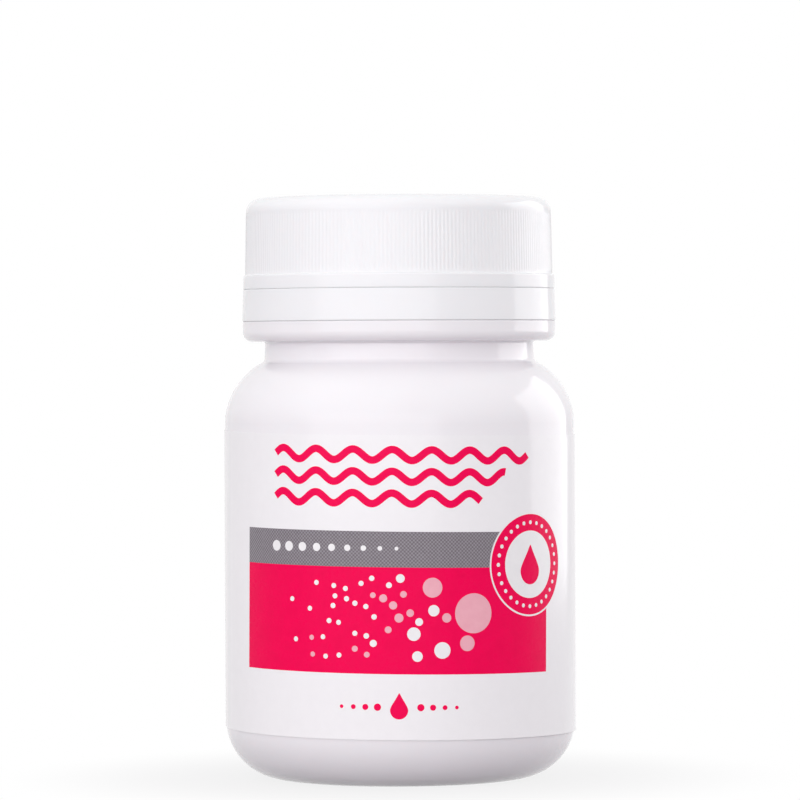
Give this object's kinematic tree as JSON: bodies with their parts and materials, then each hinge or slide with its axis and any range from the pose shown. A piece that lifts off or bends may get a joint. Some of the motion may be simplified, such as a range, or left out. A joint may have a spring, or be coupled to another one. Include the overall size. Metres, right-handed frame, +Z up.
{
  "type": "nail polish remover sponge jar",
  "caption": "Round screw-top plastic jar filled with a soaked foam sponge; a finger pushed into the sponge's hole and turned is wiped clean of nail polish.",
  "frame": {"origin": "on the jar's axis, in the plane of the foot ring that it stands on", "axes": "+Z up along the jar's axis; the middle of the label's front faces -Y; +X is to the right of the front"},
  "size_m": [0.05, 0.05, 0.0825],
  "materials": {
    "jar_plastic": "glossy",
    "cap_plastic": "glossy",
    "label_film": "glossy print",
    "foam": "matte open-cell foam",
    "liner_foam": "matte"
  },
  "bodies": {
    "jar": {"jar_body": "jar_plastic", "wrap_label": "label_film", "sponge": "foam"},
    "liner": {"cap_liner": "liner_foam"},
    "cap": {"cap_shell": "cap_plastic"},
    "band": {"tamper_band": "cap_plastic"}
  },
  "joints": [
    {"name": "cap_rise", "type": "slide", "parent": "jar", "child": "liner", "axis": [0, 0, 1], "range_m": [0, 0.0126]},
    {"name": "cap_turn", "type": "hinge", "parent": "liner", "child": "cap", "pos_m": [0, 0, 0.0758], "axis": [0, 0, 1], "range_deg": [0, 1080]},
    {"name": "band_turn", "type": "hinge", "parent": "jar", "child": "band", "pos_m": [0, 0, 0.0672], "axis": [0, 0, 1], "continuous": true}
  ],
  "couplings": [
    {"joint": "cap_rise", "follows": "cap_turn", "m_per_rad": 0.00066845}
  ]
}
